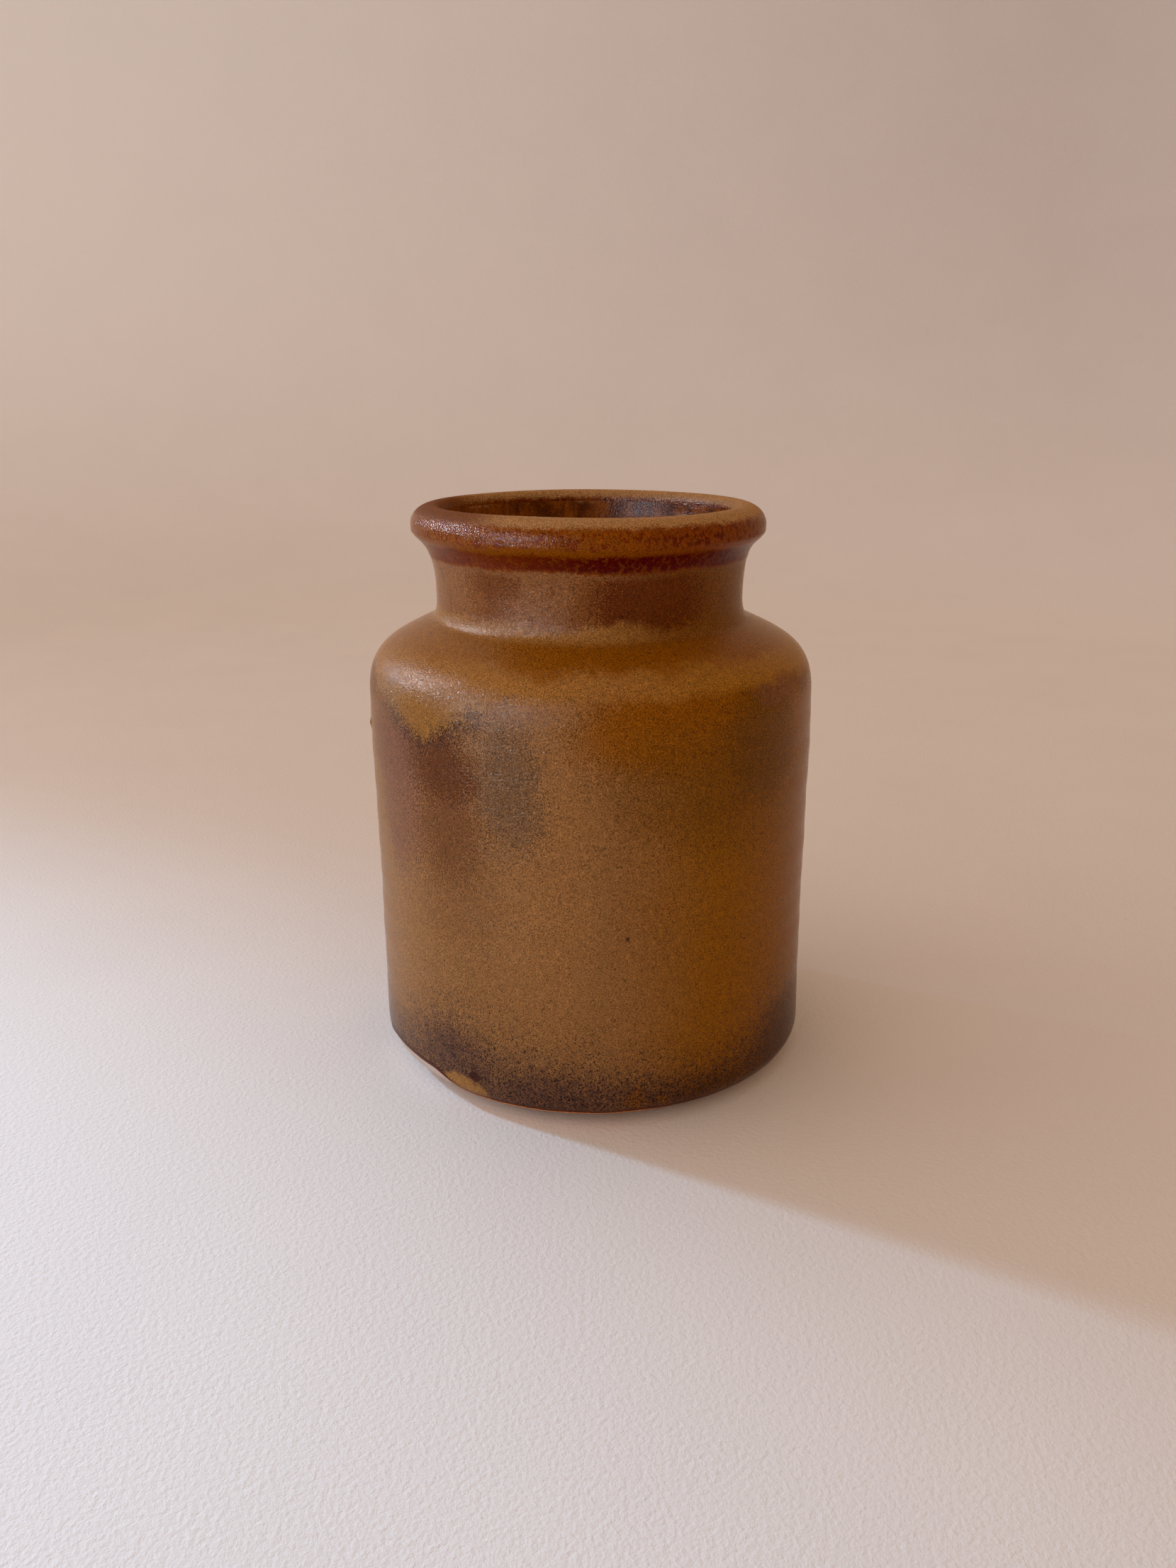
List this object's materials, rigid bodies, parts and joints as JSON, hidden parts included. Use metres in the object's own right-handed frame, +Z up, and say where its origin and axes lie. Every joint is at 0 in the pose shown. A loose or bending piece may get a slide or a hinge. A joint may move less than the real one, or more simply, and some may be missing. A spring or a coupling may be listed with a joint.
{
  "type": "butter crock",
  "caption": "Small glazed stoneware storage crock with a straight body, rounded shoulder, short neck and rolled rim, open at the top.",
  "frame": {"origin": "middle of the flat base, on the surface the crock stands on", "axes": "+Z up, along the crock's axis, out of its mouth; -Y is the side seen from the front"},
  "size_m": [0.115, 0.115, 0.145],
  "materials": {
    "wall_glaze": "satin",
    "neck_glaze": "satin",
    "inside_glaze": "gloss",
    "bare_clay": "matte"
  },
  "bodies": {
    "root": {"crock_body": "wall_glaze"}
  },
  "joints": []
}
